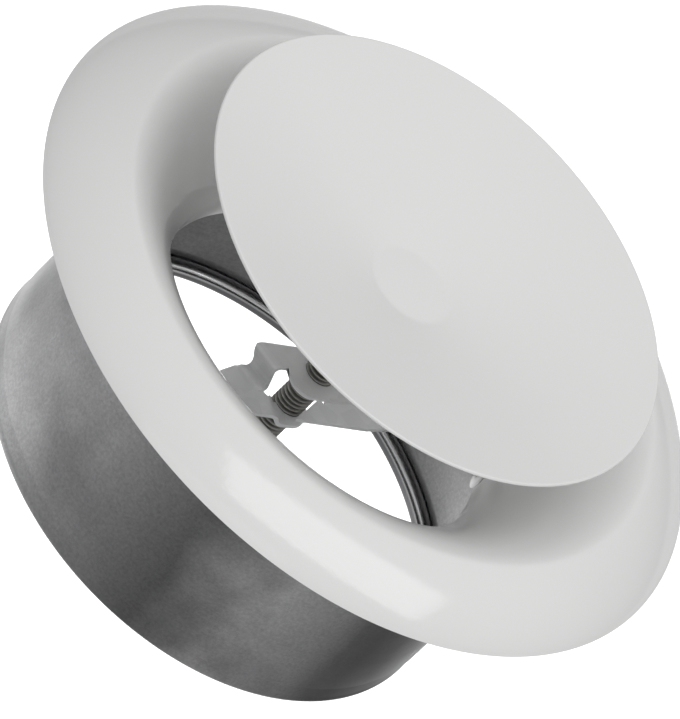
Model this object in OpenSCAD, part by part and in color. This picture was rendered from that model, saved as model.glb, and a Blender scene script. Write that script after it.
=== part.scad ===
// Disc valve for a round ventilation duct.
// The valve axis is Z. The rear rim of the mounting collar lies in the plane z = 0 and the disc faces +Z.

/* [Mounting collar] */
// Outer diameter of the spigot that enters the duct
collar_d = 99; // [97:0.5:99]
// Length of the spigot behind the wall face
collar_length = 50; // [46:0.5:60]
// Sheet thickness of the collar
collar_wall = 0.8; // [0.6:0.1:1]
// Diameter of the roll at the rear rim
bead_d = 3.6; // [3:0.1:4]
// Width of the turned-out front flange, from the outside of the spigot
collar_flange_width = 9; // [8:0.5:9.5]
// Distance from the edge of the front flange to the middle of a screw hole
screw_inset = 4.5; // [4:0.1:5]
// Diameter of a screw hole
screw_hole_d = 4.5; // [3.5:0.1:5]
// Number of screw holes
screw_count = 4; // [2:1:6]
// Outer radius of the bend between the spigot and the front flange
collar_bend_r = 1.6; // [1.2:0.1:2]

/* [Flange ring] */
// Distance from the outside of the spigot to the outer edge of the bell mouth
ring_overhang = 21.5; // [20.5:0.5:23.5]
// Radial width of the outer slope, from the outer edge to the crest
slope_width = 13.5; // [12.6:0.1:14]
// Height of the crest above the wall face
crest_height = 9.5; // [9:0.1:10.4]
// Distance from the outside of the spigot in to the wall of the throat
throat_gap = 13; // [12.5:0.1:13.4]
// Depth of the throat's rear edge behind the wall face
throat_depth = 17.3; // [17:0.1:18]
// Depth at which the throat becomes cylindrical
throat_blend_depth = 13; // [12.6:0.1:13.4]
// Sheet thickness of the bell mouth
ring_wall = 1; // [0.8:0.1:1.1]
// Fullness of the outer slope of the bell mouth, 2 is a straight cone
outer_fullness = 1.6; // [1.3:0.05:1.9]
// Fullness of the inner slope of the bell mouth, 1 is a quarter ellipse
inner_fullness = 1.36; // [1.25:0.01:1.4]

/* [Gasket] */
// Distance from the ring's outer edge to the outside of the foam gasket
gasket_inset = 5.5; // [5:0.1:6]
// Radial width of the foam gasket
gasket_width = 4.5; // [4:0.1:5]

/* [Disc] */
// Distance from the crest circle of the bell mouth in to the edge of the disc
disc_inset = 8.6; // [8.4:0.1:11]
// Height of the disc's rim above the wall face, at rest
disc_height = 22.6; // [21:0.1:24]
// Depth of the dish from the rim to the dimple
dish_depth = 9; // [8:0.1:9.5]
// Diameter of the flat dimple
dimple_d = 18.6; // [17:0.2:20]
// Sheet thickness of the disc
disc_wall = 1; // [0.8:0.1:1.2]
// Width of the blend between the cone and the dimple
disc_blend = 1.6; // [1:0.1:2]

/* [Spindle] */
// Outside diameter of the spindle's thread
spindle_d = 6; // [5.8:0.1:6.2]
// Depth of the spindle's rear end behind the wall face
spindle_depth = 34; // [33:0.5:36]
// Radial clearance of the spindle in each bore
spindle_clearance = 0.05; // [0.02:0.01:0.1]
// Height of the chamfer at the spindle's rear end
spindle_chamfer = 0.6; // [0.4:0.1:1]
// Width across flats of the weld nut
nut_af = 10; // [9:0.5:11]
// Height of the weld nut behind its flange
nut_height = 5; // [4:0.5:5.5]
// Diameter of the weld nut's flange
nut_flange_d = 16; // [14:0.5:17]
// Thickness of the weld nut's flange
nut_flange_t = 1.2; // [1:0.1:1.5]
// Diameter of the backing washer
washer_d = 18; // [15:0.5:18]
// Thickness of the backing washer
washer_t = 1.6; // [1:0.1:2]

/* [Bridge] */
// Sheet thickness of the bridge
bridge_t = 0.8; // [0.7:0.1:1]
// Depth of the bridge's front face behind the wall face
bridge_depth = 22.9; // [22:0.1:24]
// Width of each arm at its narrowest
arm_width = 6.4; // [6:0.1:7]
// Width of the strip at its middle
belly_width = 10.4; // [10:0.1:11]
// Distance from the axis to where the strip starts to narrow into an arm
belly_reach = 12.4; // [12:0.1:13]
// Distance from the axis to where the strip has narrowed to the arm's width
waist_reach = 17.2; // [16.4:0.1:18]
// Width of the riveted tab at the end of each arm
tab_width = 15; // [14:0.5:16]
// Length over which an arm flares to the tab's width, inward from the throat wall
flare_reach = 7.5; // [6:0.5:9]
// Depth of a tab's front edge behind the wall face
tab_depth = 12; // [11.5:0.1:12.5]
// Outer radius of the bend between an arm and its tab
tab_bend_r = 2.4; // [2:0.1:3]
// Distance between the two rivets of a tab
tab_rivet_pitch = 9.2; // [8.6:0.1:9.4]
// Rise of the front strap above the bridge
strap_rise = 7.8; // [7.2:0.05:8.4]
// Width of the front strap
strap_width = 11.2; // [10.8:0.1:11.6]
// Distance from the axis to the outside of each strap leg, square to the leg
leg_reach = 8.7; // [8.4:0.1:9.2]
// Angle by which a leg leans outward from its foot to its top, in degrees
leg_lean = 18; // [10:1:20]
// Angle in plan by which the legs splay apart, in degrees
leg_splay = 30; // [20:1:34]
// Width of each strap leg, measured across the strip
leg_width = 5.2; // [4.6:0.1:5.4]
// Outer radius of the bends at the top and the foot of a leg
leg_bend_r = 1.7; // [1.4:0.1:2]
// Distance from the axis to the end of the strap's plate, on the slit's side
plate_reach = 7.3; // [6.8:0.1:7.6]
// Radius of the plate's corners
plate_corner_r = 3.8; // [3:0.1:4.2]
// Offset of the slit from the axis, to the side away from the legs
slit_offset = 0.3; // [0.2:0.1:0.6]
// Distance from the axis to the relief hole at each end of the slit
relief_reach = 6.6; // [6.4:0.1:7]
// Diameter of the relief hole at each end of the slit
relief_d = 1.4; // [1.2:0.1:1.6]
// Depth by which the rear tongue is pressed back behind the bridge
tongue_drop = 2.2; // [1.8:0.1:2.6]
// Angle of the slope between the bridge and the tongue's flat end, in degrees
tongue_angle = 56; // [50:1:62]
// Distance from the axis to the root of the tongue
tongue_reach = 7.2; // [7:0.1:7.6]
// Width of metal left around the spindle at the tongue's free end
tongue_rim = 0.8; // [0.7:0.05:1]

/* [Springs and rivets] */
// Number of retaining springs
spring_count = 3; // [3:1:3]
// Width of a retaining spring
spring_width = 8; // [6:0.5:8]
// Thickness of a retaining spring
spring_t = 0.6; // [0.5:0.05:0.7]
// Radius of the bend at the root of a retaining spring
spring_root_r = 2; // [1.6:0.1:2.4]
// Radius of the spring where it presses on the collar
spring_apex_r = 2; // [1.6:0.1:2.4]
// Distance along the axis from the spring's root to its apex
spring_rise = 6.2; // [5.6:0.1:7]
// Distance by which the spring's free end is bent in
spring_tip_reach = 4; // [3:0.5:5]
// Depth of the spring's free end behind the wall face
spring_tip_depth = 6; // [5.5:0.5:8]
// Depth of the rivets behind the wall face
rivet_depth = 15.2; // [15:0.1:15.4]
// Shank diameter of a rivet
rivet_d = 3.2; // [3:0.1:3.4]
// Head diameter of a rivet
rivet_head_d = 6; // [5.6:0.1:6.4]
// Height of a rivet's head
rivet_head_t = 1.1; // [0.9:0.1:1.3]

/* [Hidden] */
$fn = 96;

// gap left between faces that meet
seat_gap = 0.1;
// gap left between curved faces of different bodies
free_gap = 0.3;
// overshoot of a cutting tool past the face it cuts
past = 1;

wall_z = collar_length;
collar_r = collar_d / 2;
collar_flange_r = collar_r + collar_flange_width;
screw_circle_r = collar_flange_r - screw_inset;
ring_r = collar_r + ring_overhang;
crest_r = ring_r - slope_width;
throat_r = collar_r - throat_gap;
disc_r = crest_r - disc_inset;
dimple_r = dimple_d / 2;
spindle_r = spindle_d / 2;
spindle_bore_r = spindle_r + spindle_clearance;

rim_z = wall_z + free_gap;
crest_z = wall_z + crest_height;
blend_z = wall_z - throat_blend_depth;
throat_z = wall_z - throat_depth;
disc_z = wall_z + disc_height;
dimple_z = disc_z - dish_depth;
disc_back_z = dimple_z - disc_wall;
spindle_z = wall_z - spindle_depth;
bridge_z = wall_z - bridge_depth;
strap_z = bridge_z + strap_rise;
throat_outer_r = throat_r + ring_wall;
tab_r = throat_outer_r + seat_gap;
tab_top_z = wall_z - tab_depth;
rivet_z = wall_z - rivet_depth;
tab_rivet_angle = asin(tab_rivet_pitch / 2 / tab_r);
spring_start_angle = 90;

// front surface of the bell mouth, from the outer edge over the crest into the throat
outer_steps = 12;
inner_steps = 16;

function outer_point(a) = [
    crest_r + (ring_r - crest_r) * pow(cos(a), outer_fullness),
    rim_z + (crest_z - rim_z) * pow(sin(a), outer_fullness)
];
function inner_point(a) = [
    throat_r + (crest_r - throat_r) * (1 - pow(sin(a), inner_fullness)),
    blend_z + (crest_z - blend_z) * pow(cos(a), inner_fullness)
];
function bell_points() = concat(
    [for (i = [0 : outer_steps - 1]) outer_point(90 * i / outer_steps)],
    [for (i = [0 : inner_steps]) inner_point(90 * i / inner_steps)],
    [[throat_r, throat_z]]
);
function unit(v) = v / norm(v);
// left-hand normal of a path at its point i
function path_normal(p, i) =
    let (a = p[max(i - 1, 0)], b = p[min(i + 1, len(p) - 1)], d = unit(b - a))
    [-d[1], d[0]];
function offset_path(p, t) = [for (i = [0 : len(p) - 1]) p[i] + t * path_normal(p, i)];
function reversed(p) = [for (i = [len(p) - 1 : -1 : 0]) p[i]];
// closed outline of a sheet that lies along a path
function sheet_outline(p, t) = concat(p, reversed(offset_path(p, t)));
function arc_points(c, r, a0, a1, n) = [
    for (i = [0 : n]) c + r * [cos(a0 + (a1 - a0) * i / n), sin(a0 + (a1 - a0) * i / n)]
];

// one radial rivet: shank through the wall, with a domed head inside the throat and a collar outside
module radial_rivet(angle, z, outer) {
    head_r = rivet_head_d / 2;
    rim_r = head_r - rivet_head_t / 2;
    grip = outer - throat_r;
    rotate([0, 0, angle])
    translate([throat_r, 0, z])
    rotate([0, 90, 0])
    union() {
        translate([0, 0, -seat_gap - rivet_head_t])
        cylinder(h = rivet_head_t, r1 = rim_r, r2 = head_r);
        translate([0, 0, -seat_gap - rivet_head_t / 2])
        cylinder(h = grip + 2 * seat_gap + rivet_head_t, r = rivet_d / 2);
        translate([0, 0, grip + seat_gap])
        cylinder(h = rivet_head_t, r = rim_r);
    }
}

// radial hole for a rivet
module radial_hole(angle, z) {
    rotate([0, 0, angle])
    translate([throat_r - past, 0, z])
    rotate([0, 90, 0])
    cylinder(h = ring_wall + bridge_t + 3 * past, r = rivet_d / 2 + seat_gap);
}

module mounting_collar() {
    bead_r = bead_d / 2;
    bead_c = [collar_r - bead_r, bead_r];
    bend_inner_r = collar_bend_r - collar_wall;
    bend_c = [collar_r + bend_inner_r, wall_z - bend_inner_r];
    // outside of the sheet, from the rolled edge along the spigot to the edge of the front flange
    wall_points = concat(
        arc_points(bead_c, bead_r, -250, 0, 20),
        arc_points(bend_c, bend_inner_r, 180, 90, 5),
        [[collar_flange_r, wall_z]]
    );
    color("darkgray")
    difference() {
        rotate_extrude()
        polygon(sheet_outline(wall_points, collar_wall));
        for (i = [0 : screw_count - 1])
            rotate([0, 0, 360 / screw_count * (i + 0.5)])
            translate([screw_circle_r, 0, wall_z - past])
            cylinder(h = collar_wall + 2 * past, r = screw_hole_d / 2);
    }
}

module flange_ring() {
    color("white")
    difference() {
        rotate_extrude()
        polygon(sheet_outline(bell_points(), ring_wall));
        for (side = [0, 180], step = [-1, 1])
            radial_hole(side + step * tab_rivet_angle, rivet_z);
        for (i = [0 : spring_count - 1])
            radial_hole(spring_start_angle + 360 / spring_count * i, rivet_z);
    }
}

// height of the bell mouth's front surface above the rim, at a radius of the outer slope
function slope_z(r) =
    let (share = (r - crest_r) / slope_width)
    rim_z + (crest_z - rim_z) * pow(1 - pow(share, 2 / outer_fullness), outer_fullness / 2);

module foam_gasket() {
    outer_r = ring_r - gasket_inset;
    fall = slope_z(outer_r - seat_gap) - slope_z(outer_r);
    underside = slope_z(outer_r) - ring_wall * norm([1, fall / seat_gap]);
    height = underside - wall_z - free_gap;
    color("dimgray")
    translate([0, 0, wall_z])
    difference() {
        cylinder(h = height, r = outer_r);
        translate([0, 0, -past])
        cylinder(h = height + 2 * past, r = outer_r - gasket_width);
    }
}

// plan of the strip: broad in the middle, narrowing to two arms that flare into the tabs
module bridge_plan() {
    flare = (tab_width - arm_width) / 2;
    flare_x = throat_r - flare_reach;
    end_x = throat_outer_r + bridge_t + past;
    half_plan = [
        [0, belly_width / 2],
        [belly_reach, belly_width / 2],
        [waist_reach, arm_width / 2],
        [flare_x - flare, arm_width / 2],
        [flare_x, tab_width / 2],
        [end_x, tab_width / 2]
    ];
    quarter = concat([[0, 0]], half_plan, [[end_x, 0]]);
    for (side = [-1, 1], edge = [-1, 1])
        polygon([for (p = quarter) [side * p[0], edge * p[1]]]);
}

// bends of a leg: the concave one at its foot and the convex one at its top, joined by a straight flank
leg_inner_r = leg_bend_r - bridge_t;
leg_radii = leg_bend_r + leg_inner_r;
leg_top_c = [leg_bend_r - leg_reach, strap_z - leg_bend_r];
leg_flank = (strap_rise - leg_radii - leg_radii * sin(leg_lean)) / cos(leg_lean);
leg_foot_c = [leg_top_c[0] - leg_radii * cos(leg_lean) + leg_flank * sin(leg_lean), bridge_z + leg_inner_r];
// inner face of a leg at its foot, where the opening behind the strap ends
foot_x = leg_foot_c[0] + leg_bend_r;

// slope of the tongue: two equal bends
tongue_bend_r = tongue_drop / 2 / (1 - cos(tongue_angle));
tongue_run = 2 * tongue_bend_r * sin(tongue_angle);
tongue_z = bridge_z - tongue_drop;
tongue_tip_r = spindle_bore_r + tongue_rim;

// opening left in the strip where the front strap was pressed out, with the relief holes at its ends
module slit_plan() {
    half = belly_width / 2 + past;
    for (side = [0, 1])
        mirror([side, 0, 0]) {
            intersection() {
                rotate([0, 0, leg_splay])
                translate([foot_x, -belly_width])
                square([2 * belly_width, 3 * belly_width]);
                translate([-belly_width, -slit_offset])
                square([belly_width, slit_offset + half]);
            }
            translate([-relief_reach, -slit_offset])
            circle(d = relief_d);
        }
}

// strip of metal that the tongue takes up, up to the sloping cut at its free end
module tongue_plan(tip_r) {
    half = belly_width / 2 + past;
    difference() {
        translate([-tongue_reach, -half])
        square([2 * tongue_reach, half - slit_offset]);
        rotate([0, 0, tip_angle - 90])
        translate([tip_r, -2 * half])
        square([2 * half, 4 * half]);
    }
}
// direction, in plan, in which the tongue's free end is cut off
tip_angle = 46;

// plan of the front strap's plate: two rounded corners on one side, a leg beyond each of the others
module plate_plan() {
    near = strap_width - belly_width / 2;
    corner_x = plate_reach - plate_corner_r;
    union() {
        translate([-plate_reach, plate_corner_r - near])
        square([2 * plate_reach, strap_width - plate_corner_r]);
        translate([-corner_x, -near])
        square([2 * corner_x, strap_width]);
        for (side = [-1, 1])
            translate([side * corner_x, plate_corner_r - near])
            circle(r = plate_corner_r);
    }
}

// side view of one half of the front strap: plate, leg and foot, as a sheet of even thickness
module strap_profile() {
    path = concat(
        [[0, strap_z]],
        arc_points(leg_top_c, leg_bend_r, 90, 180 + leg_lean, 7),
        arc_points(leg_foot_c, leg_inner_r, leg_lean, -90, 6)
    );
    polygon(sheet_outline(path, bridge_t));
}

// side view of the tongue: root, slope and flat end
module tongue_profile() {
    inner_r = tongue_bend_r - bridge_t / 2;
    outer_r = tongue_bend_r + bridge_t / 2;
    middle_z = bridge_z - bridge_t / 2;
    root_c = [-tongue_reach, middle_z - tongue_bend_r];
    flat_c = [tongue_run - tongue_reach, middle_z - tongue_drop + tongue_bend_r];
    polygon(concat(
        arc_points(root_c, outer_r, 90, 90 - tongue_angle, 5),
        arc_points(flat_c, inner_r, 270 - tongue_angle, 270, 5),
        [[2 * tongue_reach, tongue_z], [2 * tongue_reach, tongue_z - bridge_t]],
        arc_points(flat_c, outer_r, 270, 270 - tongue_angle, 5),
        arc_points(root_c, inner_r, 90 - tongue_angle, 90, 5)
    ));
}

// a side view drawn along X and Z, as wide as the strip
module across_strip() {
    rotate([90, 0, 0])
    translate([0, 0, -2 * belly_width])
    linear_extrude(height = 4 * belly_width)
    children();
}

// a plan, as high as the whole bridge
module through_bridge() {
    low_z = tongue_z - bridge_t - past;
    translate([0, 0, low_z])
    linear_extrude(height = tab_top_z - low_z + past)
    children();
}

module bridge() {
    inner_r = tab_bend_r - bridge_t;
    bend_c = [tab_r + bridge_t - tab_bend_r, bridge_z - bridge_t + tab_bend_r];
    cup = concat(
        [[0, bridge_z - bridge_t]],
        arc_points(bend_c, tab_bend_r, -90, 0, 6),
        [[tab_r + bridge_t, tab_top_z], [tab_r, tab_top_z]],
        arc_points(bend_c, inner_r, 0, -90, 4),
        [[0, bridge_z]]
    );
    color("silver")
    difference() {
        union() {
            intersection() {
                rotate_extrude()
                polygon(cup);
                through_bridge()
                difference() {
                    bridge_plan();
                    slit_plan();
                    tongue_plan(tongue_tip_r);
                }
            }
            translate([0, 0, strap_z - bridge_t])
            linear_extrude(height = bridge_t)
            plate_plan();
            for (side = [0, 1])
                mirror([side, 0, 0])
                intersection() {
                    rotate([0, 0, leg_splay])
                    across_strip()
                    strap_profile();
                    through_bridge()
                    translate([-2 * leg_reach, belly_width / 2 - leg_width])
                    square([2 * leg_reach, leg_width]);
                }
            intersection() {
                across_strip()
                tongue_profile();
                through_bridge()
                intersection() {
                    bridge_plan();
                    difference() {
                        tongue_plan(tongue_tip_r - seat_gap);
                        translate([-relief_reach, -slit_offset])
                        circle(d = relief_d);
                    }
                }
            }
        }
        translate([0, 0, tongue_z - bridge_t - past])
        cylinder(h = strap_z - tongue_z + bridge_t + 2 * past, r = spindle_bore_r);
        for (side = [0, 180], step = [-1, 1])
            radial_hole(side + step * tab_rivet_angle, rivet_z);
    }
}

module bridge_rivets() {
    color("gainsboro")
    for (side = [0, 180], step = [-1, 1])
        radial_rivet(side + step * tab_rivet_angle, rivet_z, tab_r + bridge_t);
}

// bow spring: foot on the throat, apex near the collar wall, free end turned back in
module retaining_spring(i) {
    rise_angle = 33;
    tip_angle = 30;
    apex_r = collar_r - collar_wall - free_gap;
    apex_x = sqrt(apex_r * apex_r - spring_width * spring_width / 4) - seat_gap;
    root_z = rivet_z - rivet_head_d / 2 - spring_t;
    root_c = [tab_r + spring_root_r, root_z + spring_root_r];
    apex_c = [apex_x - spring_apex_r, root_z + spring_rise];
    path = concat(
        [[tab_r, tab_top_z]],
        arc_points(root_c, spring_root_r, 180, 270 + rise_angle, 5),
        arc_points(apex_c, spring_apex_r, rise_angle - 90, tip_angle, 5),
        [[apex_x - spring_tip_reach, wall_z - spring_tip_depth]]
    );
    color("lightsteelblue")
    rotate([0, 0, spring_start_angle + 360 / spring_count * i])
    difference() {
        rotate([90, 0, 0])
        translate([0, 0, -spring_width / 2])
        linear_extrude(height = spring_width)
        polygon(sheet_outline(path, spring_t));
        radial_hole(0, rivet_z);
    }
}

module spring_rivets() {
    color("gainsboro")
    for (i = [0 : spring_count - 1])
        radial_rivet(spring_start_angle + 360 / spring_count * i, rivet_z, tab_r + spring_t);
}

module backing_washer() {
    color("burlywood")
    translate([0, 0, disc_back_z - nut_flange_t - nut_height - seat_gap - washer_t])
    difference() {
        cylinder(h = washer_t, d = washer_d);
        translate([0, 0, -past])
        cylinder(h = washer_t + 2 * past, r = spindle_r + free_gap);
    }
}

// dished sheet: flat dimple, short blend, cone and a rounded rim
module disc() {
    slope = dish_depth / (disc_r - dimple_r);
    blend_rise = disc_blend * slope;
    front = [
        [0, dimple_z],
        [dimple_r - disc_blend, dimple_z],
        [dimple_r, dimple_z + blend_rise / 3],
        [dimple_r + disc_blend, dimple_z + blend_rise],
        [disc_r, disc_z]
    ];
    back = [for (i = [len(front) - 1 : -1 : 0]) front[i] - [0, disc_wall]];
    color("white")
    rotate_extrude()
    polygon(concat(front, back));
}

module weld_nut() {
    color("gray")
    difference() {
        union() {
            translate([0, 0, disc_back_z - nut_flange_t])
            cylinder(h = nut_flange_t, d = nut_flange_d);
            translate([0, 0, disc_back_z - nut_flange_t - nut_height])
            cylinder(h = nut_height, d = nut_af / cos(30), $fn = 6);
        }
        translate([0, 0, disc_back_z - nut_flange_t - nut_height - past])
        cylinder(h = nut_flange_t + nut_height + 2 * past, r = spindle_bore_r);
    }
}

// threaded rod with chamfered rear end, drawn at the outside diameter of its thread
module spindle() {
    color("dimgray")
    union() {
        translate([0, 0, spindle_z])
        cylinder(h = spindle_chamfer, r1 = spindle_r - spindle_chamfer, r2 = spindle_r);
        translate([0, 0, spindle_z + spindle_chamfer])
        cylinder(h = disc_back_z - spindle_z - spindle_chamfer, r = spindle_r);
    }
}

mounting_collar();
flange_ring();
foam_gasket();
bridge();
bridge_rivets();
retaining_spring(0);  // retaining_spring_1
retaining_spring(1);  // retaining_spring_2
retaining_spring(2);  // retaining_spring_3
spring_rivets();
backing_washer();
disc();
weld_nut();
spindle();
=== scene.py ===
"""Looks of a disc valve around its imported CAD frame.

Profiles are written in millimetres, as (radius, height) from the valve's axis and its rear rim.
They become metres in the meshes.
"""

import math

import bmesh
import bpy
from mathutils import Matrix, Vector


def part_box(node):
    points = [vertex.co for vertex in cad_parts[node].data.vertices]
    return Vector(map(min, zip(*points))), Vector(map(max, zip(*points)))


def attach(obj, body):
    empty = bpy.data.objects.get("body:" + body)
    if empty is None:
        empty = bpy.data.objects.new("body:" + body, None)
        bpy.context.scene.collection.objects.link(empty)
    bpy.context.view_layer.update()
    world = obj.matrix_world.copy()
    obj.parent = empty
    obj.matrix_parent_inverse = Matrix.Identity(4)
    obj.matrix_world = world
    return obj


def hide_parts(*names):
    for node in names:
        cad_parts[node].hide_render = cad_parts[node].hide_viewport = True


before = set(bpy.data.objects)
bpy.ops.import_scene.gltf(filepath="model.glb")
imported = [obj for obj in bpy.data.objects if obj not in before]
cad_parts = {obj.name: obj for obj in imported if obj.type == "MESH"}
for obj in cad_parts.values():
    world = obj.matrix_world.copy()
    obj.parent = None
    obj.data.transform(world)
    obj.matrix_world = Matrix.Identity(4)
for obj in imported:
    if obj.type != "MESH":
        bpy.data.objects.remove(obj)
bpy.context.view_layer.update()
scene = bpy.context.scene
MM = 0.001

# sizes of the CAD source
WALL_Z = 50.0
COLLAR_R = 49.5
COLLAR_WALL = 0.8
BEAD_R = 1.8
COLLAR_FLANGE_R = 58.5
COLLAR_BEND_R = 0.8
SCREW_CIRCLE_R = 54.0
SCREW_HOLE_R = 2.25
RING_R = 71.0
RIM_Z = 50.3
CREST_R = 57.5
CREST_Z = 59.5
OUTER_FULLNESS = 1.6
INNER_FULLNESS = 1.36
THROAT_R = 36.5
BLEND_Z = 37.0
THROAT_Z = 32.7
RING_WALL = 1.0
DISC_R = 48.9
DISC_Z = 72.6
DIMPLE_R = 9.3
DIMPLE_Z = 63.6
SPINDLE_R = 3.0
SPINDLE_LOW = 16.0
SPINDLE_HIGH = 62.6
TAB_R = 37.6
BRIDGE_WALL = 0.8
BRIDGE_Z = 27.1
TIP_ANGLE = 46.0
TIP_REACH = 3.85
SLIT_Y = -0.3
SLIT_END_X = 6.6
SLIT_END_R = 0.7
BELLY_X = 12.4
WAIST_X = 17.2
RIVET_Z = 34.8
RIVET_R = 1.6
RIVET_HEAD_R = 3.0
RIVET_HEAD_T = 1.1
TAB_RIVET_TURN = 7.03
TAB_RIVET_ANGLES = [side + step * TAB_RIVET_TURN for side in (0, 180) for step in (-1, 1)]
SPRING_T = 0.6
SPRING_WIDTH = 8.0
SPRING_REACH = 48.4
SPRING_TOP_Z = 38.0
SPRING_TIP = (44.13, 44.0)
SPRING_BEND_R = 2.0
SPRING_APEX_RISE = 6.2
SPRING_ANGLES = (90.0, 210.0, 330.0)
GAP = 0.1

# finer forms that only the looks have
DISC_SHEET = 0.7
DIMPLE_EDGE = (1.0, 0.4)
BEAD_ARC = (-297, -6)
STEP_DEPTH = 0.1
STEP_Z = (2.2, 5.5, 6.0)
GASKET_WIDTH = 4.5
GASKET_EASE = 0.35
WASHER_GAP = 0.3
WASHER_EASE = 0.25
FOOT_RIVET_RISE = 0.45
THREAD_PITCH = 1.0
THREAD_DEPTH = 0.58
SLIT_END_SHARE = 0.65
TIP_CORNER_X = -1.5
TONGUE_TIP_SHIFT = 2.0
BELLY_SHIFT = (3.1, 0.0, 0.0)
WAIST_SHIFT = (4.8, -1.2, 0.0)
LOBE_X = -1.0
LOBE_R = 4.9
LOBE_CUT = 9.0
LEG_WAIST = (8.9, 31.0)
LEG_WAIST_R = 5.0
LEG_X = (6.5, 17.0)

# how make_bridge picks corners of the sheet: how near they lie, past which line and how deep
NEAR = 0.06
PLATE_NEAR = 0.1
SLIT_NEAR = 0.03
SLIT_EASE = 0.01
FRONT_Y = -3.0
TONGUE_DROP = 0.5

# where a tone fades in or out, between two places in metres
ROLL_INSIDE_R = (0.0489, 0.0485)
# the roll's painted highlight band and the painted shade on its underside fade in and out here
HIGHLIGHT_BAND_TOP_Z = (0.0036, 0.0041)
HIGHLIGHT_BAND_LOW_Z = (0.0019, 0.0025)
UNDERSIDE_SHADE_Z = (0.0017, 0.0023)
THREAD_ROOT_SHADE_R = (0.00245, 0.003)


# profiles

def arc(centre, radius, start, end, steps):
    """Points on an arc, angles in degrees."""
    points = []
    for i in range(steps + 1):
        a = math.radians(start + (end - start) * i / steps)
        points.append((centre[0] + radius * math.cos(a), centre[1] + radius * math.sin(a)))
    return points


def resample(path, step):
    """The path with points that are about step apart."""
    points = [path[0]]
    for a, b in zip(path, path[1:]):
        length = math.dist(a, b)
        count = max(1, round(length / step))
        for i in range(1, count + 1):
            t = i / count
            points.append((a[0] + (b[0] - a[0]) * t, a[1] + (b[1] - a[1]) * t))
    return points


def smooth(path, passes):
    """The path with its corners eased, its ends kept."""
    points = list(path)
    for _ in range(passes):
        inner = [
            ((p[0] + 2 * q[0] + r[0]) / 4, (p[1] + 2 * q[1] + r[1]) / 4)
            for p, q, r in zip(points, points[1:], points[2:])
        ]
        points = [points[0], *inner, points[-1]]
    return points


def direction(path, i):
    """Unit vector along the path at its point i."""
    a, b = path[max(i - 1, 0)], path[min(i + 1, len(path) - 1)]
    d = Vector((b[0] - a[0], b[1] - a[1]))
    return d.normalized()


def offset(path, distance):
    """The path moved to its left by distance."""
    moved = []
    for i, p in enumerate(path):
        d = direction(path, i)
        moved.append((p[0] - d.y * distance, p[1] + d.x * distance))
    return moved


def sheet_outline(path, wall, round_start=True, round_end=True, steps=6):
    """Closed outline of a sheet that lies to the left of its path, with rounded edges."""
    half = wall / 2
    middle = offset(path, half)
    if round_start:
        d = direction(path, 0)
        middle[0] = (middle[0][0] + d.x * abs(half), middle[0][1] + d.y * abs(half))
    if round_end:
        d = direction(path, len(path) - 1)
        middle[-1] = (middle[-1][0] - d.x * abs(half), middle[-1][1] - d.y * abs(half))
    near, far = offset(middle, -half), offset(middle, half)
    outline = list(near)
    turn = 180 if wall > 0 else -180
    if round_end:
        d = direction(middle, len(middle) - 1)
        base = math.degrees(math.atan2(d.y, d.x)) - turn / 2
        outline += arc(middle[-1], abs(half), base, base + turn, steps)[1:-1]
    outline += reversed(far)
    if round_start:
        d = direction(middle, 0)
        base = math.degrees(math.atan2(d.y, d.x)) + turn / 2
        outline += arc(middle[0], abs(half), base, base + turn, steps)[1:-1]
    return outline


# meshes

def shade(mesh, sharp_angle=40.0):
    """Makes the mesh smooth but for edges above the sharp angle in degrees."""
    mesh.shade_smooth()
    mesh.set_sharp_from_angle(angle=math.radians(sharp_angle))


def finish_mesh(bm, name, sharp_angle=40.0):
    """An object with the mesh, shaded by its sharp angle."""
    bmesh.ops.recalc_face_normals(bm, faces=bm.faces)
    mesh = bpy.data.meshes.new(name)
    bm.to_mesh(mesh)
    bm.free()
    shade(mesh, sharp_angle)
    obj = bpy.data.objects.new(name, mesh)
    scene.collection.objects.link(obj)
    return obj


def add_revolved(bm, outline, steps, place=None):
    """Adds the closed outline, turned about Z, to bm. Points on the axis become poles."""
    rings = []
    for r, z in outline:
        if r < 1e-6:
            rings.append([bm.verts.new((0, 0, z * MM))])
            continue
        ring = []
        for k in range(steps):
            a = 2 * math.pi * k / steps
            ring.append(bm.verts.new((r * MM * math.cos(a), r * MM * math.sin(a), z * MM)))
        rings.append(ring)
    for a, b in zip(rings, rings[1:] + rings[:1]):
        if len(a) == 1 and len(b) == 1:
            continue
        for k in range(steps):
            n = (k + 1) % steps
            if len(a) == 1:
                bm.faces.new((a[0], b[n], b[k]))
            elif len(b) == 1:
                bm.faces.new((a[k], a[n], b[0]))
            else:
                bm.faces.new((a[k], a[n], b[n], b[k]))
    if place is not None:
        verts = [v for ring in rings for v in ring]
        bmesh.ops.transform(bm, matrix=place, verts=verts)


def revolved(name, outline, steps):
    bm = bmesh.new()
    add_revolved(bm, outline, steps)
    return finish_mesh(bm, name)


def add_skin(bm, rings):
    """Adds faces between neighbouring closed rings of vertices, and over the first and the last."""
    for a, b in zip(rings, rings[1:]):
        for k in range(len(a)):
            n = (k + 1) % len(a)
            bm.faces.new((a[k], a[n], b[n], b[k]))
    bm.faces.new(rings[0])
    bm.faces.new(rings[-1])


def rod_outline(radius, low, high):
    return [(0, low), (radius, low), (radius, high), (0, high)]


def eased_ring(inner, outer, base, top, ease):
    """Outline of a flat ring with its edges cut off by ease."""
    return [
        (inner, base + ease), (inner + ease, base), (outer - ease, base), (outer, base + ease),
        (outer, top - ease), (outer - ease, top), (inner + ease, top), (inner, top - ease),
    ]


def bevelled(obj, width, segments=3, angle=30.0):
    """The object with its edges above the angle eased by the width in millimetres."""
    bevel = obj.modifiers.new("edge", "BEVEL")
    bevel.width = width * MM
    bevel.segments = segments
    bevel.limit_method = "ANGLE"
    bevel.angle_limit = math.radians(angle)
    bevel.harden_normals = True
    return obj


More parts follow.
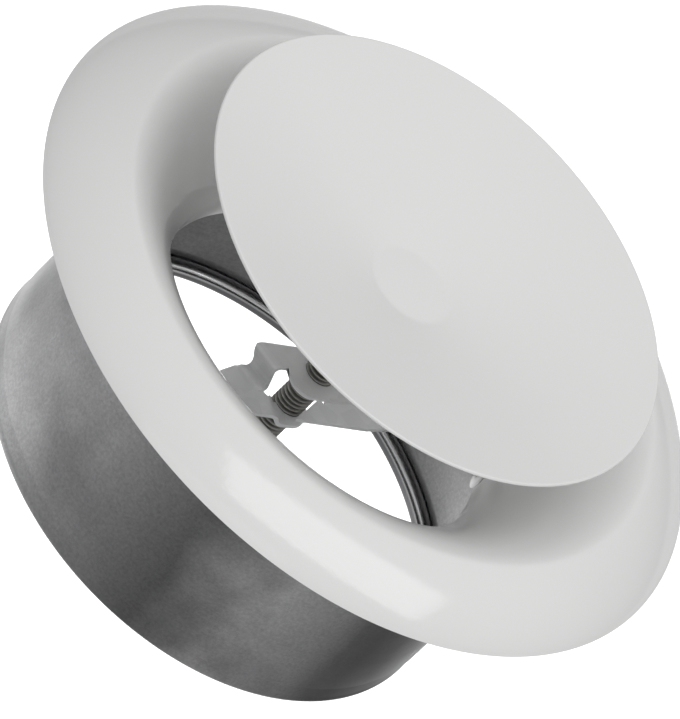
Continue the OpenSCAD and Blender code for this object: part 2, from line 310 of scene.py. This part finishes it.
def cad_copy(node, name):
    """A copy of a CAD node's mesh with its flat faces joined, ready for eased edges."""
    bm = bmesh.new()
    bm.from_mesh(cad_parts[node].data)
    bmesh.ops.remove_doubles(bm, verts=bm.verts, dist=1e-6)
    bmesh.ops.dissolve_limit(
        bm, angle_limit=math.radians(0.6), verts=bm.verts, edges=bm.edges
    )
    return finish_mesh(bm, name, 30.0)


def without(obj, cutters):
    """The object with the cutters taken out of its mesh, and the cutters removed."""
    for cutter in cutters:
        cut = obj.modifiers.new("cut", "BOOLEAN")
        cut.operation = "DIFFERENCE"
        cut.solver = "EXACT"
        cut.object = cutter
    bpy.context.view_layer.update()
    graph = bpy.context.evaluated_depsgraph_get()
    mesh = bpy.data.meshes.new_from_object(obj.evaluated_get(graph))
    mesh.name = obj.name
    obj.modifiers.clear()
    obj.data = mesh
    for cutter in cutters:
        bpy.data.objects.remove(cutter)
    shade(mesh)
    return obj


# materials

def node(tree, kind, inputs=None, **settings):
    made = tree.nodes.new(kind)
    for key, value in settings.items():
        setattr(made, key, value)
    for key, value in (inputs or {}).items():
        if isinstance(value, bpy.types.NodeSocket):
            tree.links.new(value, made.inputs[key])
        else:
            made.inputs[key].default_value = value
    return made


def start_material(name):
    material = bpy.data.materials.new(name)
    material.use_nodes = True
    tree = material.node_tree
    shader = tree.nodes["Principled BSDF"]
    place = node(tree, "ShaderNodeTexCoord").outputs["Object"]
    return material, tree, shader, place


def stretch(tree, place, scale):
    return node(tree, "ShaderNodeMapping", {"Vector": place, "Scale": scale}).outputs["Vector"]


def noise(tree, place, scale, detail=3.0, roughness=0.5, distortion=0.0):
    """scale is in cells per metre."""
    inputs = {
        "Vector": place,
        "Scale": scale,
        "Detail": detail,
        "Roughness": roughness,
        "Distortion": distortion,
    }
    return node(tree, "ShaderNodeTexNoise", inputs).outputs["Fac"]


def ramp(tree, value, stops):
    """Colour ramp with stops of (position, colour or grey)."""
    made = node(tree, "ShaderNodeValToRGB", {"Fac": value})
    elements = made.color_ramp.elements
    while len(elements) < len(stops):
        elements.new(0.5)
    for element, (position, colour) in zip(elements, stops):
        element.position = position
        rgb = (colour,) * 3 if isinstance(colour, float) else colour
        element.color = (*rgb, 1.0)
    return made.outputs["Color"]


def mix(tree, share, a, b, blend_type="MIX"):
    """Mix of colours a and b, each a socket or a tuple; the numbers are the node's colour sockets."""
    made = node(tree, "ShaderNodeMix", {0: share}, data_type="RGBA", blend_type=blend_type)
    for socket, value in ((6, a), (7, b)):
        if isinstance(value, bpy.types.NodeSocket):
            tree.links.new(value, made.inputs[socket])
        else:
            made.inputs[socket].default_value = (*value, 1.0)
    return made.outputs[2]


def remap(tree, value, low, high, from_low=0.0, from_high=1.0):
    inputs = {
        "Value": value,
        "From Min": from_low,
        "From Max": from_high,
        "To Min": low,
        "To Max": high,
    }
    return node(tree, "ShaderNodeMapRange", inputs).outputs["Result"]


def calc(tree, operation, a, b):
    return node(tree, "ShaderNodeMath", {0: a, 1: b}, operation=operation).outputs["Value"]


def axis_distance(tree, place):
    """Distance from the valve's axis, in metres."""
    flat = node(tree, "ShaderNodeVectorMath", {0: place, 1: (1.0, 1.0, 0.0)}, operation="MULTIPLY")
    reach = node(tree, "ShaderNodeVectorMath", {0: flat.outputs["Vector"]}, operation="LENGTH")
    return reach.outputs["Value"]


def rolling_lines(tree, place):
    """Noise drawn out around the valve, as scratches from rolling."""
    return noise(tree, stretch(tree, place, (40.0, 40.0, 2500.0)), 1.0, 2.0)


def bump(tree, height, strength, distance, normal=None):
    inputs = {"Height": height, "Strength": strength, "Distance": distance}
    if normal is not None:
        inputs["Normal"] = normal
    return node(tree, "ShaderNodeBump", inputs).outputs["Normal"]


def white_paint(name, tone):
    """Powder coat: fine orange peel, slightly uneven gloss."""
    material, tree, shader, place = start_material(name)
    cloud = noise(tree, place, 30.0, 2.0)
    shader.inputs["Metallic"].default_value = 0.0
    shader.inputs["IOR"].default_value = 1.5
    colour = ramp(tree, cloud, [(0.3, tuple(c * 0.985 for c in tone)), (0.7, tone)])
    tree.links.new(colour, shader.inputs["Base Color"])
    peel = noise(tree, place, 900.0, 2.0, 0.4)
    gloss = noise(tree, place, 180.0, 3.0)
    tree.links.new(remap(tree, gloss, 0.09, 0.14), shader.inputs["Roughness"])
    tree.links.new(bump(tree, peel, 0.12, 0.00012), shader.inputs["Normal"])
    return material


def sheet_zinc(name):
    """Zinc-coated sheet: cloudy tone, faint spangle, fine scratches along the rolling direction."""
    material, tree, shader, place = start_material(name)
    cloud = noise(tree, place, 60.0, 6.0, 0.62, 0.6)
    spangle = node(tree, "ShaderNodeTexVoronoi", {"Vector": place, "Scale": 300.0})
    tone = ramp(tree, cloud, [(0.32, (0.86, 0.865, 0.87)), (0.68, (0.94, 0.945, 0.95))])
    flakes = ramp(tree, spangle.outputs["Color"], [(0.1, 0.86), (0.9, 1.0)])
    mottled = mix(tree, 0.55, tone, flakes, "MULTIPLY")
    scratches = ramp(tree, rolling_lines(tree, place), [(0.56, 1.0), (0.62, 0.82), (0.68, 1.0)])
    marks = mix(tree, 0.35, mottled, scratches, "MULTIPLY")
    tree.links.new(marks, shader.inputs["Base Color"])
    shader.inputs["Metallic"].default_value = 0.2
    rough = noise(tree, place, 180.0, 4.0)
    tree.links.new(remap(tree, rough, 0.45, 0.55, 0.3, 0.7), shader.inputs["Roughness"])
    grain = noise(tree, place, 1400.0, 3.0, 0.6)
    relief = bump(tree, grain, 0.18, 0.00008)
    tree.links.new(bump(tree, cloud, 0.1, 0.0004, relief), shader.inputs["Normal"])
    return material


def collar_zinc(name):
    """Zinc of the spigot: painted reflection and shade as broad bands that run along it, sandy grain, and a
    glossier roll at the rear with a painted highlight on its upper half and painted shade on its underside.
    """
    material, tree, shader, place = start_material(name)
    cloud = noise(tree, place, 26.0, 4.0, 0.5)
    parts = node(tree, "ShaderNodeSeparateXYZ", {"Vector": place}).outputs
    turn = calc(tree, "ARCTAN2", parts["Y"], parts["X"])
    around = remap(tree, turn, 0.0, 1.0, -math.pi, math.pi)
    around = calc(tree, "ADD", around, remap(tree, cloud, -0.02, 0.02, 0.3, 0.7))
    # painted reflection and shade: lighter and darker bands by the turn around the spigot, mottled by the
    # cloud
    painted_reflection_bands = ramp(tree, around, [
        (0.0, 0.88), (0.05, 0.88), (0.1, 0.44), (0.128, 0.27), (0.155, 0.44), (0.19, 0.88), (0.225, 0.62),
        (0.252, 0.22), (0.275, 0.12), (0.305, 0.1), (0.34, 0.28), (0.37, 0.5), (0.44, 0.62), (0.5, 0.6),
        (0.6, 0.46), (0.7, 0.34), (0.78, 0.36), (0.86, 0.64), (0.93, 0.82), (1.0, 0.84),
    ])
    tone = ramp(tree, cloud, [(0.32, (0.23, 0.23, 0.235)), (0.68, (0.5, 0.5, 0.505))])
    zinc = mix(tree, 1.0, tone, painted_reflection_bands, "MULTIPLY")
    sand = noise(tree, place, 1500.0, 3.0, 0.7)
    zinc = mix(tree, 1.0, zinc, ramp(tree, sand, [(0.3, 0.82), (0.7, 1.1)]), "MULTIPLY")
    scratches = ramp(tree, rolling_lines(tree, place), [(0.56, 1.0), (0.62, 0.8), (0.68, 1.0)])
    zinc = mix(tree, 0.3, zinc, scratches, "MULTIPLY")
    # the roll: its upper half is a glossier band in a brighter colour, a painted highlight; its underside
    # is painted shade, dull and dark
    height = parts["Z"]
    inside = remap(tree, axis_distance(tree, place), 0.0, 1.0, *ROLL_INSIDE_R)
    rolled = remap(tree, height, 1.0, 0.0, *HIGHLIGHT_BAND_TOP_Z)
    rolled = calc(tree, "MULTIPLY", rolled, remap(tree, height, 0.0, 1.0, *HIGHLIGHT_BAND_LOW_Z))
    rolled = calc(tree, "MULTIPLY", rolled, inside)
    # painted shade: the roll's underside is made dark
    under = calc(tree, "MULTIPLY", remap(tree, height, 1.0, 0.0, *UNDERSIDE_SHADE_Z), inside)
    # painted highlight: the brighter colour of the roll's upper band
    zinc = mix(tree, rolled, zinc, (0.72, 0.72, 0.73))
    zinc = mix(tree, under, zinc, (0.13, 0.13, 0.135))
    tree.links.new(zinc, shader.inputs["Base Color"])
    shader.inputs["Metallic"].default_value = 1.0
    shader.inputs["Specular Tint"].default_value = (0.78, 0.78, 0.78, 1.0)
    satin = remap(tree, noise(tree, place, 70.0, 3.0), 0.27, 0.36, 0.3, 0.7)
    gloss = mix(tree, rolled, satin, (0.16, 0.16, 0.16))
    tree.links.new(gloss, shader.inputs["Roughness"])
    tree.links.new(bump(tree, sand, 0.12, 0.00006), shader.inputs["Normal"])
    return material


def plain_metal(name, colour, gloss, grain_scale, grain=0.2):
    """Plated or rolled metal with fine grain."""
    material, tree, shader, place = start_material(name)
    cloud = noise(tree, place, 160.0, 4.0, 0.6)
    dark = tuple(c * 0.8 for c in colour)
    tree.links.new(ramp(tree, cloud, [(0.3, dark), (0.7, colour)]), shader.inputs["Base Color"])
    shader.inputs["Metallic"].default_value = 1.0
    fine = noise(tree, place, grain_scale, 3.0, 0.6)
    tree.links.new(remap(tree, fine, gloss[0], gloss[1], 0.3, 0.7), shader.inputs["Roughness"])
    tree.links.new(bump(tree, fine, grain, 0.00006), shader.inputs["Normal"])
    return material


def thread_metal(name):
    """Dark plated steel, with painted shade in the roots of the thread and brighter crests."""
    material, tree, shader, place = start_material(name)
    # painted shade: darker in the thread's roots, brighter towards the crests
    crest = remap(tree, axis_distance(tree, place), 0.0, 1.0, *THREAD_ROOT_SHADE_R)
    cloud = noise(tree, place, 900.0, 3.0)
    tone = mix(tree, crest, (0.15, 0.15, 0.14), (0.4, 0.39, 0.37))
    spots = ramp(tree, cloud, [(0.3, 0.75), (0.7, 1.0)])
    tree.links.new(mix(tree, 0.6, tone, spots, "MULTIPLY"), shader.inputs["Base Color"])
    shader.inputs["Metallic"].default_value = 1.0
    tree.links.new(remap(tree, cloud, 0.3, 0.5), shader.inputs["Roughness"])
    tree.links.new(bump(tree, cloud, 0.2, 0.00005), shader.inputs["Normal"])
    return material


def foam(name):
    """Dark open foam with fine cells."""
    material, tree, shader, place = start_material(name)
    cells = node(tree, "ShaderNodeTexVoronoi", {"Vector": place, "Scale": 1600.0})
    tone = ramp(tree, cells.outputs["Distance"], [(0.0, 0.035), (0.8, 0.09)])
    tree.links.new(tone, shader.inputs["Base Color"])
    tree.links.new(remap(tree, cells.outputs["Distance"], 0.95, 0.75), shader.inputs["Roughness"])
    relief = bump(tree, cells.outputs["Distance"], 0.7, 0.0004)
    tree.links.new(relief, shader.inputs["Normal"])
    return material


def fibre(name):
    """Brown pressed fibre with short threads."""
    material, tree, shader, place = start_material(name)
    threads = noise(tree, stretch(tree, place, (1.0, 4.0, 8.0)), 500.0, 5.0, 0.7)
    tone = ramp(tree, threads, [(0.3, (0.11, 0.075, 0.05)), (0.7, (0.2, 0.14, 0.095))])
    tree.links.new(tone, shader.inputs["Base Color"])
    tree.links.new(remap(tree, threads, 0.65, 0.85), shader.inputs["Roughness"])
    tree.links.new(bump(tree, threads, 0.35, 0.0001), shader.inputs["Normal"])
    return material


WHITE = (0.80, 0.80, 0.795)
PAINT_RING = white_paint("white_ring_paint", WHITE)
PAINT_DISC = white_paint("white_disc_paint", WHITE)
ZINC = collar_zinc("collar_zinc")
SHEET = sheet_zinc("bridge_zinc")
SPRING_STEEL = plain_metal("spring_steel", (0.42, 0.43, 0.45), (0.25, 0.38), 2200.0)
RIVET_METAL = plain_metal("rivet_aluminium", (0.72, 0.72, 0.73), (0.3, 0.45), 1800.0)
NUT_METAL = plain_metal("nut_zinc", (0.5, 0.5, 0.48), (0.28, 0.42), 1500.0)
THREAD = thread_metal("spindle_steel")
FOAM = foam("gasket_foam")
FIBRE = fibre("washer_fibre")


def dress(obj, material, body, slot, *nodes):
    """Gives a piece its material and body, and hides the CAD nodes it stands for. The slot is not used."""
    obj.data.materials.clear()
    obj.data.materials.append(material)
    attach(obj, body)
    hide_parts(*nodes)
    return obj


# the pieces

def bell_path():
    """Front side of the bell mouth, from its outer edge over the crest into the throat."""
    outer = []
    for i in range(40):
        a = math.radians(90 * i / 40)
        outer.append((
            CREST_R + (RING_R - CREST_R) * math.cos(a) ** OUTER_FULLNESS,
            RIM_Z + (CREST_Z - RIM_Z) * math.sin(a) ** OUTER_FULLNESS,
        ))
    inner = []
    for i in range(49):
        a = math.radians(90 * i / 48)
        inner.append((
            THROAT_R + (CREST_R - THROAT_R) * (1 - math.sin(a) ** INNER_FULLNESS),
            BLEND_Z + (CREST_Z - BLEND_Z) * max(math.cos(a), 0.0) ** INNER_FULLNESS,
        ))
    return smooth(resample(outer + inner + [(THROAT_R, THROAT_Z)], step=0.6), passes=14)


def make_ring():
    ring = revolved("bell_ring", sheet_outline(bell_path(), RING_WALL), 288)
    holes = [radial_cutter(a, RIVET_R + GAP) for a in [*TAB_RIVET_ANGLES, *SPRING_ANGLES]]
    dress(without(ring, holes), PAINT_RING, "insert", "white_ring", "flange_ring")


def radial_place(angle, radius, z):
    """Matrix that puts a piece drawn along +Z on the radius at angle, pointing outward."""
    return (
        Matrix.Rotation(math.radians(angle), 4, "Z")
        @ Matrix.Translation((radius * MM, 0, z * MM))
        @ Matrix.Rotation(math.radians(90), 4, "Y")
    )


def radial_cutter(angle, radius):
    bm = bmesh.new()
    outline = rod_outline(radius, low=-1.5, high=4.0)
    add_revolved(bm, outline, 32, radial_place(angle, THROAT_R, RIVET_Z))
    return finish_mesh(bm, "cutter")


def make_disc():
    slope = (DISC_Z - DIMPLE_Z) / (DISC_R - DIMPLE_R)
    start, end = DIMPLE_EDGE
    front = [
        (0, DIMPLE_Z),
        (DIMPLE_R - start, DIMPLE_Z),
        (DIMPLE_R + end, DIMPLE_Z + (start + end) * slope),
        (DISC_R, DISC_Z),
    ]
    path = smooth(resample(front, step=0.4), passes=2)
    outline = sheet_outline(path, -DISC_SHEET, round_start=False)
    outline = [(0.0 if r < 0.05 else r, z) for r, z in outline]
    dress(revolved("disc_plate", outline, 288), PAINT_DISC, "disc_assembly", "white_disc", "disc")


def make_collar():
    bead = arc((COLLAR_R - BEAD_R, BEAD_R), BEAD_R, *BEAD_ARC, 48)
    low_r = COLLAR_R - STEP_DEPTH
    step = list(zip((low_r, low_r, COLLAR_R), STEP_Z))
    wall = [(COLLAR_R, z) for z in (14.0, 24.0, 34.0, 44.0)]
    bend = arc((COLLAR_R + COLLAR_BEND_R, WALL_Z - COLLAR_BEND_R), COLLAR_BEND_R, 180, 90, 10)
    path = bead + resample(step, step=0.4) + wall + bend + [(COLLAR_FLANGE_R, WALL_Z)]
    collar = revolved("collar_shell", sheet_outline(path, COLLAR_WALL), 288)
    cutters = []
    for i in range(4):
        bm = bmesh.new()
        a = math.radians(45 + 90 * i)
        place = Matrix.Translation(
            (SCREW_CIRCLE_R * MM * math.cos(a), SCREW_CIRCLE_R * MM * math.sin(a), WALL_Z * MM)
        )
        add_revolved(bm, rod_outline(SCREW_HOLE_R, low=-1.0, high=2.0), 48, place)
        cutters.append(finish_mesh(bm, "cutter"))
    dress(without(collar, cutters), ZINC, "collar", "galvanised_collar", "mounting_collar")


def make_gasket():
    low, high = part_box("foam_gasket")
    outer = high.x / MM
    outline = eased_ring(outer - GASKET_WIDTH, outer, low.z / MM, high.z / MM, GASKET_EASE)
    dress(revolved("gasket_ring", outline, 200), FOAM, "insert", "foam", "foam_gasket")


def rivet_outlines(grip, rise):
    """Blind rivet along +Z: lacquered head with the mandrel's hole, then the shank and the set tail."""
    rim, under = RIVET_HEAD_R - 0.08, -GAP
    top = under - rise
    tail = grip + GAP
    head = [
        (0, top + 0.5 * rise), (0.62, top + 0.5 * rise), (0.72, top + 0.09 * rise), (0.95, top),
        (1.5, top + 0.03 * rise), (2.1, top + 0.16 * rise), (2.6, top + 0.41 * rise),
        (rim, top + 0.71 * rise), (rim - 0.02, under - 0.1 * rise), (rim - 0.22, under), (0, under),
    ]
    body = [
        (0, under - 0.2 * rise), (RIVET_R, under - 0.2 * rise), (RIVET_R, tail), (2.2, tail),
        (2.42, tail + 0.25), (2.42, tail + 0.6), (2.2, tail + 0.92), (1.7, tail + 1.06),
        (0.8, tail + 1.08), (0.7, tail + 0.8), (0, tail + 0.75),
    ]
    return head, body


def make_rivets(name, angles, grip, rise, node_name):
    outlines = rivet_outlines(grip, rise)
    for outline, part, material in zip(outlines, ("heads", "bodies"), (PAINT_RING, RIVET_METAL)):
        bm = bmesh.new()
        for a in angles:
            add_revolved(bm, outline, 40, radial_place(a, THROAT_R, RIVET_Z))
        dress(finish_mesh(bm, f"{name}_{part}", 35), material, "insert", "rivets", node_name)


def make_springs():
    """Bow springs: a riveted foot, a bend outward, and an apex that bears on the spigot."""
    half = SPRING_WIDTH / 2
    apex_x = math.sqrt(SPRING_REACH ** 2 - half ** 2) - GAP
    root_z = RIVET_Z - RIVET_HEAD_R - SPRING_T
    bend = SPRING_BEND_R
    path = [(TAB_R, SPRING_TOP_Z), (TAB_R, RIVET_Z)]
    path += arc((TAB_R + bend, root_z + bend), bend, 180, 303, 14)
    path += arc((apex_x - bend, root_z + SPRING_APEX_RISE), bend, -57, 30, 12)
    path += [SPRING_TIP]
    outline = sheet_outline(path, SPRING_T, steps=4)
    for i, angle in enumerate(SPRING_ANGLES):
        bm = bmesh.new()
        sides = []
        for y in (-half, half):
            sides.append([bm.verts.new((x * MM, y * MM, z * MM)) for x, z in outline])
        add_skin(bm, sides)
        bmesh.ops.transform(bm, matrix=Matrix.Rotation(math.radians(angle), 4, "Z"), verts=bm.verts)
        spring = bevelled(finish_mesh(bm, f"bow_spring_{i + 1}", 30), 0.12, 2, 60)
        dress(spring, SPRING_STEEL, "insert", "springs", f"retaining_spring_{i + 1}")


def make_spindle():
    """Right-hand M6 thread with flat crests, cut over the whole rod."""
    around, per_turn, crest, flank, chamfer = 48, 12, 0.14, 0.66, 0.6
    count = round((SPINDLE_HIGH - SPINDLE_LOW) / THREAD_PITCH * per_turn)
    bm = bmesh.new()
    rings = []
    for j in range(count + 1):
        z = SPINDLE_LOW + (SPINDLE_HIGH - SPINDLE_LOW) * j / count
        limit = SPINDLE_R - max(0.0, chamfer - (z - SPINDLE_LOW))
        ring = []
        for k in range(around):
            a = 2 * math.pi * k / around
            phase = (z / THREAD_PITCH - k / around) % 1.0
            swing = abs(phase - 0.5) * 2
            cut = min(1.0, max(0.0, (swing - crest) / flank))
            r = min(SPINDLE_R - THREAD_DEPTH * cut, limit)
            ring.append(bm.verts.new((r * MM * math.cos(a), r * MM * math.sin(a), z * MM)))
        rings.append(ring)
    add_skin(bm, rings)
    dress(finish_mesh(bm, "threaded_rod", 60), THREAD, "disc_assembly", "spindle", "spindle")


def prism(points, axis, low, high):
    """A cutter over a closed outline, drawn across axis X or Z, in millimetres."""
    bm = bmesh.new()
    ends = []
    for level in (low, high):
        corners = [(level, a, b) if axis == "X" else (a, b, level) for a, b in points]
        ends.append([bm.verts.new(Vector(corner) * MM) for corner in corners])
    add_skin(bm, ends)
    return finish_mesh(bm, "cutter")


def make_bridge():
    """The CAD's sheet with the waist of its legs, the round lobe of its tongue and small slit ends."""
    bridge = cad_copy("bridge", "bridge_sheet")
    tip = Vector((math.sin(math.radians(TIP_ANGLE)), -math.cos(math.radians(TIP_ANGLE)), 0))
    under_z = BRIDGE_Z - BRIDGE_WALL
    for vert in bridge.data.vertices:
        p = vert.co / MM
        reach = p.dot(tip)
        slit_end = Vector((math.copysign(SLIT_END_X, p.x), SLIT_Y, p.z))
        if under_z - PLATE_NEAR < p.z < BRIDGE_Z + PLATE_NEAR:
            if abs(reach - TIP_REACH) < NEAR and p.y < FRONT_Y:
                vert.co.x = TIP_CORNER_X * MM
            elif (p - slit_end).length < SLIT_END_R + SLIT_NEAR and p.y < SLIT_Y - SLIT_EASE:
                vert.co = (slit_end + (p - slit_end) * SLIT_END_SHARE) * MM
            elif abs(p.x - BELLY_X) < NEAR and p.y < FRONT_Y:
                vert.co += Vector(BELLY_SHIFT) * MM
            elif abs(p.x - WAIST_X) < NEAR and p.y < FRONT_Y:
                vert.co += Vector(WAIST_SHIFT) * MM
        elif p.z < under_z - TONGUE_DROP and abs(reach - TIP_REACH + GAP) < NEAR:
            vert.co.x += TONGUE_TIP_SHIFT * MM
    lobe = arc((LOBE_X, SLIT_Y), LOBE_R, -90, 0, 24)
    lobe += [(LOBE_CUT, SLIT_Y), (LOBE_CUT, -LOBE_CUT), (LOBE_X, -LOBE_CUT)]
    waist = arc(LEG_WAIST, LEG_WAIST_R, 0, 360, 48)[:-1]
    cutters = [
        prism(lobe, "Z", BRIDGE_Z - 6, under_z - GAP),
        prism(waist, "X", -LEG_X[1], -LEG_X[0]),
        prism(waist, "X", *LEG_X),
    ]
    bridge = bevelled(without(bridge, cutters), 0.12, 2, 45)
    dress(bridge, SHEET, "insert", "galvanised_bridge", "bridge")


def make_nut():
    nut = bevelled(cad_copy("weld_nut", "flanged_nut"), 0.3, 3, 40)
    dress(nut, NUT_METAL, "disc_assembly", "nut", "weld_nut")


def make_washer():
    low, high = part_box("backing_washer")
    inner = SPINDLE_R + WASHER_GAP
    outline = eased_ring(inner, high.x / MM, low.z / MM, high.z / MM, WASHER_EASE)
    dress(revolved("fibre_washer", outline, 96), FIBRE, "travel_washer", "fibre", "backing_washer")


make_ring()
make_disc()
make_collar()
make_gasket()
make_bridge()
make_rivets(
    "tab_rivets", TAB_RIVET_ANGLES, TAB_R + BRIDGE_WALL - THROAT_R, RIVET_HEAD_T, "bridge_rivets"
)
make_rivets(
    "foot_rivets", SPRING_ANGLES, TAB_R + SPRING_T - THROAT_R, FOOT_RIVET_RISE, "spring_rivets"
)
make_springs()
make_spindle()
make_nut()
make_washer()


# the studio, in metres

FLOOR_Z = -0.3
RIM_CENTRE = Vector((0, 0, WALL_Z * MM))

# the photograph: its height and the lens's focal length in pixels, the sensor in millimetres
PHOTO_HEIGHT = 719.0
FOCAL_LENGTH = 9000.0
SENSOR = 36.0

# the valve in it: its axis's angle to the line of sight, the axis's direction in the picture, the
# turn about the axis, and the rim's centre as (right, down, forward) from the camera in ring radii
AXIS_TILT = 52.985
AXIS_HEADING = -43.9
AXIS_TURN = 52.0
RIM_PLACE = (0.0706, -0.0839, 22.939)


def floor_paper(name):
    material, tree, shader, place = start_material(name)
    tone = ramp(tree, noise(tree, place, 2.0), [(0.3, 0.84575), (0.7, 0.85)])
    tree.links.new(tone, shader.inputs["Base Color"])
    shader.inputs["Roughness"].default_value = 0.9
    return material


def make_floor():
    bm = bmesh.new()
    bmesh.ops.create_grid(bm, x_segments=8, y_segments=8, size=6.0)
    floor = finish_mesh(bm, "studio_floor")
    floor.location = (0, 0, FLOOR_Z)
    floor.data.materials.append(floor_paper("floor_paper"))


def area_light(name, back, distance, along, length, width, energy, target=RIM_CENTRE):
    """A softbox at a distance back from the target, with its length along the other direction."""
    data = bpy.data.lights.new(name, "AREA")
    data.shape = "RECTANGLE"
    data.size = length
    data.size_y = width
    data.energy = energy
    lamp = bpy.data.objects.new(name, data)
    scene.collection.objects.link(lamp)
    z = Vector(back).normalized()
    y = z.cross(Vector(along)).normalized()
    turned = Matrix((y.cross(z), y, z)).transposed().to_4x4()
    lamp.matrix_world = Matrix.Translation(target + z * distance) @ turned


def make_world():
    """Light from all round that grows with the height of its direction."""
    world = bpy.data.worlds.new("studio")
    scene.world = world
    world.use_nodes = True
    tree = world.node_tree
    background = tree.nodes["Background"]
    place = node(tree, "ShaderNodeTexCoord").outputs["Generated"]
    height = node(tree, "ShaderNodeSeparateXYZ", {"Vector": place}).outputs["Z"]
    tone = ramp(tree, height, [(0.0, 0.22), (0.35, 0.44), (0.6, 0.62), (1.0, 0.8)])
    tree.links.new(tone, background.inputs["Color"])
    background.inputs["Strength"].default_value = 1.0


def camera_axes():
    """The camera's right, down and forward as rows, in the valve's frame."""
    tilt, heading, turn = (math.radians(a) for a in (AXIS_TILT, AXIS_HEADING, AXIS_TURN))
    along, across = math.cos(heading), math.sin(heading)
    axis = Vector((math.sin(tilt) * along, math.sin(tilt) * across, -math.cos(tilt)))
    level = Vector((-across, along, 0))
    rise = axis.cross(level)
    x = level * math.cos(turn) + rise * math.sin(turn)
    y = rise * math.cos(turn) - level * math.sin(turn)
    return Matrix((x, y, axis)).transposed()


def make_camera():
    """The photograph's view: long lens, the valve's axis pointing up to the right."""
    data = bpy.data.cameras.new("view")
    data.sensor_width = SENSOR
    data.lens = SENSOR * FOCAL_LENGTH / PHOTO_HEIGHT
    camera = bpy.data.objects.new("view", data)
    scene.collection.objects.link(camera)
    axes = camera_axes()
    place = RIM_CENTRE - axes.transposed() @ (Vector(RIM_PLACE) * (RING_R * MM))
    turned = Matrix((axes[0], -axes[1], -axes[2])).transposed().to_4x4()
    camera.matrix_world = Matrix.Translation(place) @ turned
    data.clip_end = 30.0
    scene.camera = camera


make_floor()
make_world()
make_camera()
area_light(
    "key", back=(0.078, -0.447, 0.891), distance=1.2, along=(0.72, -0.355, -0.24),
    length=1.06, width=0.43, energy=3.6,
)
area_light(
    "fill", back=(-0.66, -0.6, 0.5), distance=1.3, along=(0.6, -0.6, 0),
    length=1.1, width=1.0, energy=1.8,
)
area_light(
    "floor_wash", back=(0, 0, 1), distance=0.08, along=(1, 0, 0),
    length=0.96, width=0.3, energy=1.2, target=Vector((0.13, 0.295, FLOOR_Z)),
)
scene.view_settings.view_transform = "Standard"
